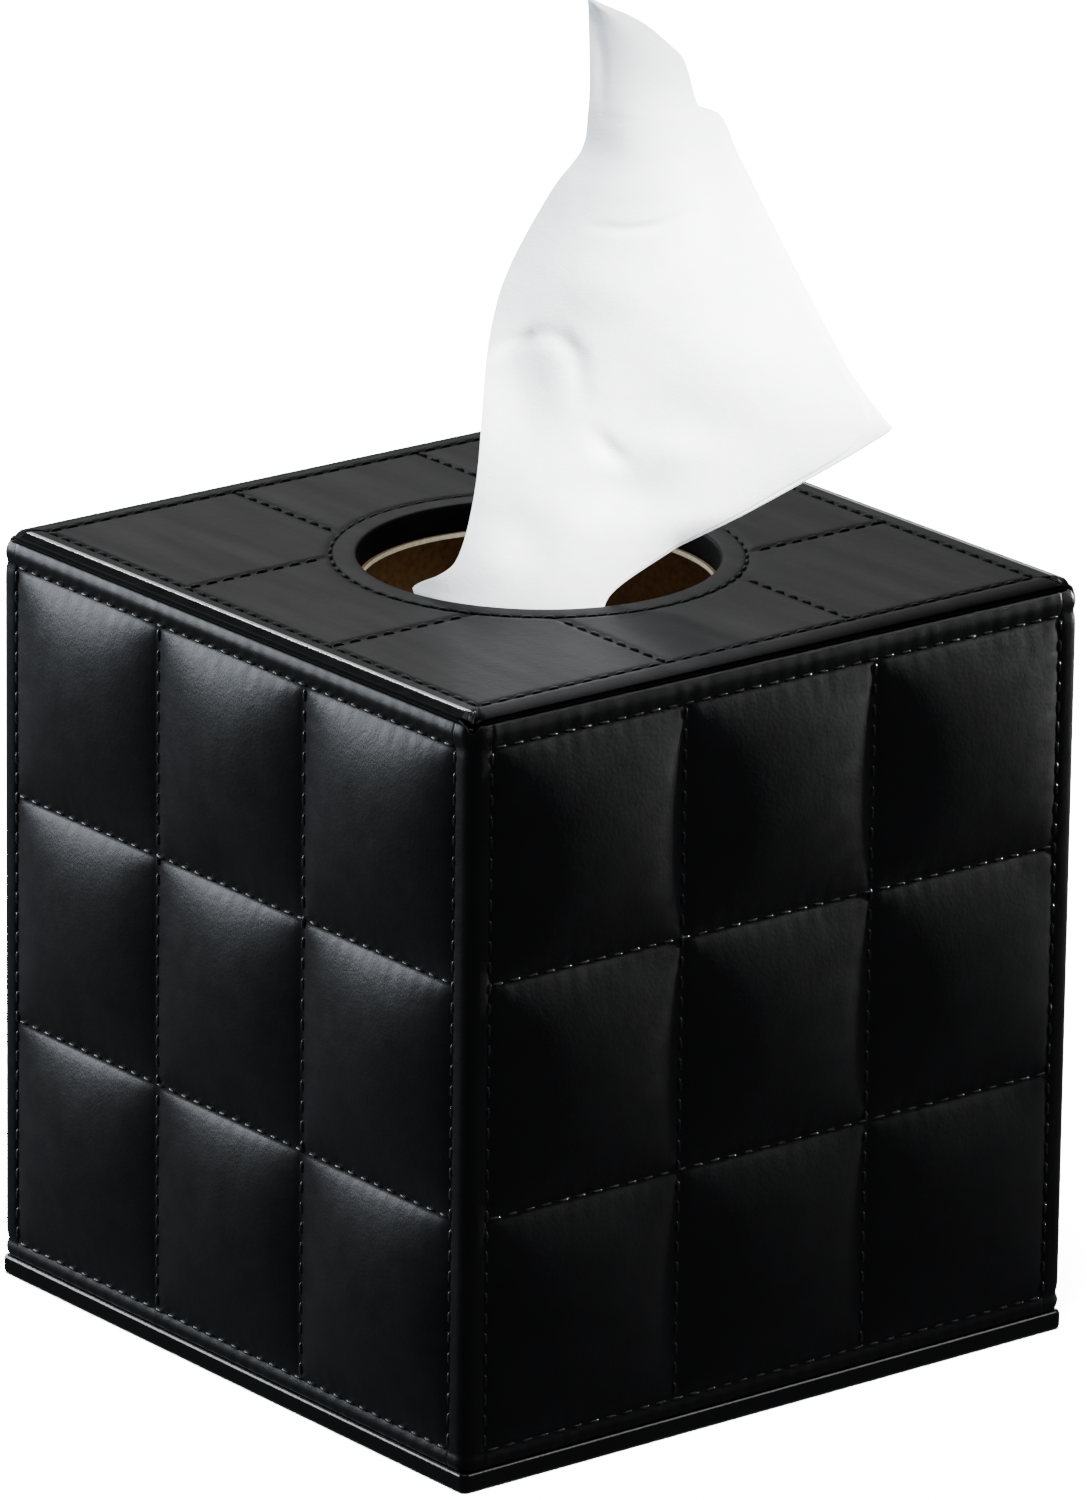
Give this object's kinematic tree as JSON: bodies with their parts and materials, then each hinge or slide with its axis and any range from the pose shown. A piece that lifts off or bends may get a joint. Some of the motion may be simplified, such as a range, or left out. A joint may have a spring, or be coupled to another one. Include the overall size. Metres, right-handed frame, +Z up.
{
  "type": "tissue dispenser",
  "caption": "Cube tissue dispenser with quilted leather walls, a round opening in the top with a tissue pulled through it, and a hinged, magnet-held base flap for refilling.",
  "frame": {"origin": "middle of the base's underside", "axes": "+Z up; the front wall faces -Y, the hinge of the base flap runs along X at the back (+Y)"},
  "size_m": [0.1412, 0.1412, 0.2436],
  "materials": {
    "black_leather": "glossy",
    "foam": "matte",
    "board": "matte",
    "brown_lining": "matte",
    "magnet": "polished",
    "tissue": "matte"
  },
  "bodies": {
    "shell": {"front_board": "board", "front_foam": "foam", "front_quilt_cover": "black_leather", "front_lining": "brown_lining", "right_board": "board", "right_foam": "foam", "right_quilt_cover": "black_leather", "right_lining": "brown_lining", "back_board": "board", "back_foam": "foam", "back_quilt_cover": "black_leather", "back_lining": "brown_lining", "left_board": "board", "left_foam": "foam", "left_quilt_cover": "black_leather", "left_lining": "brown_lining", "front_right_corner_binding": "black_leather", "back_right_corner_binding": "black_leather", "back_left_corner_binding": "black_leather", "front_left_corner_binding": "black_leather", "wall_magnets": "magnet", "top_lining": "brown_lining", "top_board": "board", "top_foam": "foam", "top_cover": "black_leather", "opening_collar": "black_leather", "hinge_strip": "black_leather", "tissue_stack": "tissue"},
    "flap": {"base_cover": "black_leather", "base_board": "board", "flap_magnets": "magnet", "base_lining": "brown_lining"},
    "tissue": {"tissue_sheet": "tissue"}
  },
  "joints": [
    {"name": "flap_hinge", "type": "hinge", "parent": "shell", "child": "flap", "pos_m": [0, 0.0679, 0.0037], "axis": [1, 0, 0], "range_deg": [0, 170], "deforming": ["hinge_strip"]},
    {"name": "tissue_pull", "type": "slide", "parent": "shell", "child": "tissue", "axis": [0, 0, 1], "range_m": [0, 0.085]}
  ]
}
